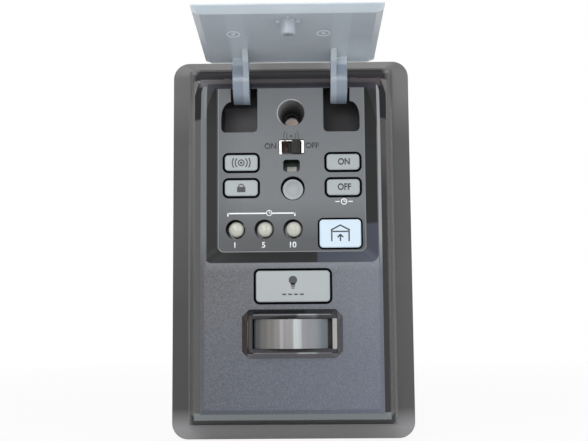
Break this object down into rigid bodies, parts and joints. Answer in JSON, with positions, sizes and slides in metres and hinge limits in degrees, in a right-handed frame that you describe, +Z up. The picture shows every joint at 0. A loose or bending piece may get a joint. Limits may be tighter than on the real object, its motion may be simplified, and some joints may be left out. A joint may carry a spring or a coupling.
{
  "type": "garage door wall control",
  "caption": "Wall control for a garage door opener, with a hinged push bar over small buttons, minute lights, a light button and a motion sensor.",
  "frame": {"origin": "centre of the back face, on the wall plane", "axes": "+Z up along the long side, +Y into the wall, +X to the viewer's right"},
  "size_m": [0.088, 0.0644, 0.1397],
  "materials": {
    "case_gray": "satin metallic gray",
    "bar_smoke": "gloss, slightly milky",
    "cover_dark": "matt",
    "board_green": "satin lacquer",
    "steel": "plated",
    "button_gray": "satin",
    "button_lit": "milky, lit from behind",
    "switch_black": "matt",
    "lamp_milky": "milky dome",
    "lamp_chip": "clear",
    "bezel_smoke": "high gloss",
    "lens_milky": "ribbed, slightly milky",
    "filter_dark": "dark window",
    "chip_black": "moulded",
    "terminal_plastic": "moulded",
    "brass": "plated",
    "cap_sleeve": "sleeved can"
  },
  "bodies": {
    "case": {"front_housing": "case_gray", "rear_cover": "cover_dark", "main_board": "board_green", "case_screws": "steel", "minute_light_1": "lamp_milky", "minute_light_5": "lamp_milky", "minute_light_10": "lamp_milky", "status_light": "lamp_chip", "hold_open_lamp": "lamp_chip", "light_lamp": "lamp_chip", "sensor_switch_frame": "steel", "sensor_switch_base": "switch_black", "sensor_bezel": "bezel_smoke", "sensor_lens": "lens_milky", "sensor_can": "steel", "sensor_filter": "filter_dark", "terminal_block": "terminal_plastic", "terminal_screws": "steel", "terminal_plates": "brass", "microcontroller": "chip_black", "capacitor": "cap_sleeve", "learn_switch": "switch_black", "lock_switch": "switch_black", "timer_on_switch": "switch_black", "timer_off_switch": "switch_black", "hold_open_switch": "switch_black", "light_switch": "switch_black", "door_switch": "switch_black"},
    "bar": {"push_bar": "bar_smoke"},
    "knob": {"sensor_switch_knob": "switch_black"},
    "learn_key": {"learn_button": "button_gray", "learn_plunger": "chip_black"},
    "lock_key": {"lock_button": "button_gray", "lock_plunger": "chip_black"},
    "timer_on_key": {"timer_on_button": "button_gray", "timer_on_plunger": "chip_black"},
    "timer_off_key": {"timer_off_button": "button_gray", "timer_off_plunger": "chip_black"},
    "hold_open_key": {"hold_open_button": "button_lit", "hold_open_plunger": "chip_black"},
    "light_key": {"light_button": "button_lit", "light_plunger": "chip_black"},
    "door_key": {"door_button": "button_gray", "door_plunger": "chip_black"}
  },
  "joints": [
    {"name": "bar_hinge", "type": "hinge", "parent": "case", "child": "bar", "pos_m": [0, -0.017, 0.058], "axis": [1, 0, 0], "range_deg": [0, 95.8]},
    {"name": "sensor_slide", "type": "slide", "parent": "case", "child": "knob", "axis": [-1, 0, 0], "range_m": [0, 0.002]},
    {"name": "learn_press", "type": "slide", "parent": "case", "child": "learn_key", "axis": [0, 1, 0], "range_m": [0, 0.0005], "stiffness_N_per_m": 600, "springref_m": -0.0008},
    {"name": "lock_press", "type": "slide", "parent": "case", "child": "lock_key", "axis": [0, 1, 0], "range_m": [0, 0.0005], "stiffness_N_per_m": 600, "springref_m": -0.0008},
    {"name": "timer_on_press", "type": "slide", "parent": "case", "child": "timer_on_key", "axis": [0, 1, 0], "range_m": [0, 0.0005], "stiffness_N_per_m": 600, "springref_m": -0.0008},
    {"name": "timer_off_press", "type": "slide", "parent": "case", "child": "timer_off_key", "axis": [0, 1, 0], "range_m": [0, 0.0005], "stiffness_N_per_m": 600, "springref_m": -0.0008},
    {"name": "hold_open_press", "type": "slide", "parent": "case", "child": "hold_open_key", "axis": [0, 1, 0], "range_m": [0, 0.0005], "stiffness_N_per_m": 600, "springref_m": -0.0008},
    {"name": "light_press", "type": "slide", "parent": "case", "child": "light_key", "axis": [0, 1, 0], "range_m": [0, 0.0005], "stiffness_N_per_m": 600, "springref_m": -0.0008},
    {"name": "door_press", "type": "slide", "parent": "case", "child": "door_key", "axis": [0, 1, 0], "range_m": [0, 0.0005], "stiffness_N_per_m": 600, "springref_m": -0.0008}
  ]
}
